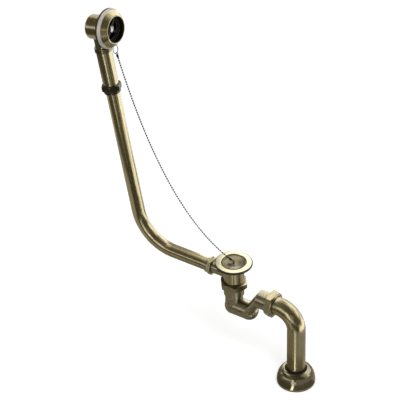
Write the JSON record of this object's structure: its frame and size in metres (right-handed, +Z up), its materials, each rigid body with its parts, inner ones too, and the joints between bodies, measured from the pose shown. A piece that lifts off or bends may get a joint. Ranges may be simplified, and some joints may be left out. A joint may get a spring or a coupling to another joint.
{
  "type": "bath waste with overflow and trap",
  "caption": "Exposed bath waste: flange with plug on a ball chain, overflow pipe leaning up to a round overflow head, cast trap, bent outlet pipe and floor flange.",
  "frame": {"origin": "centre of the waste flange at the level of its top", "axes": "+Z up, overflow pipe towards -X, outlet towards +X, all pipe axes in the plane Y = 0"},
  "size_m": [0.4707, 0.0736, 0.6765],
  "materials": {
    "antique_brass": "brushed antique brass, dark olive brown with pale highlights",
    "bright_brass": "brushed, paler where it is handled",
    "black_rubber": "matt",
    "black_plastic": "satin",
    "steel": "bright",
    "dark_steel": "darkened"
  },
  "bodies": {
    "root": {"waste_flange": "bright_brass", "flange_washer": "black_rubber", "plug": "antique_brass", "plug_ring": "black_rubber", "plug_eye": "dark_steel", "waste_body": "antique_brass", "inlet_nut": "antique_brass", "inlet_olive": "bright_brass", "overflow_pipe": "antique_brass", "middle_nut": "antique_brass", "middle_olive": "black_rubber", "upper_tube": "antique_brass", "head_nut": "antique_brass", "head_washer": "black_rubber", "overflow_cup": "antique_brass", "overflow_gasket": "black_rubber", "overflow_face": "bright_brass", "overflow_insert": "black_plastic", "overflow_screw": "steel", "chain_ring": "dark_steel", "upper_clasp": "dark_steel", "chain_beads": "dark_steel", "chain_pins": "dark_steel", "lower_clasp": "dark_steel", "trap_nut": "antique_brass", "trap_olive": "black_rubber", "trap_body": "antique_brass", "outlet_nut": "antique_brass", "outlet_olive": "black_rubber", "outlet_pipe": "antique_brass", "floor_flange": "antique_brass", "floor_flange_ring": "black_rubber"}
  },
  "joints": []
}
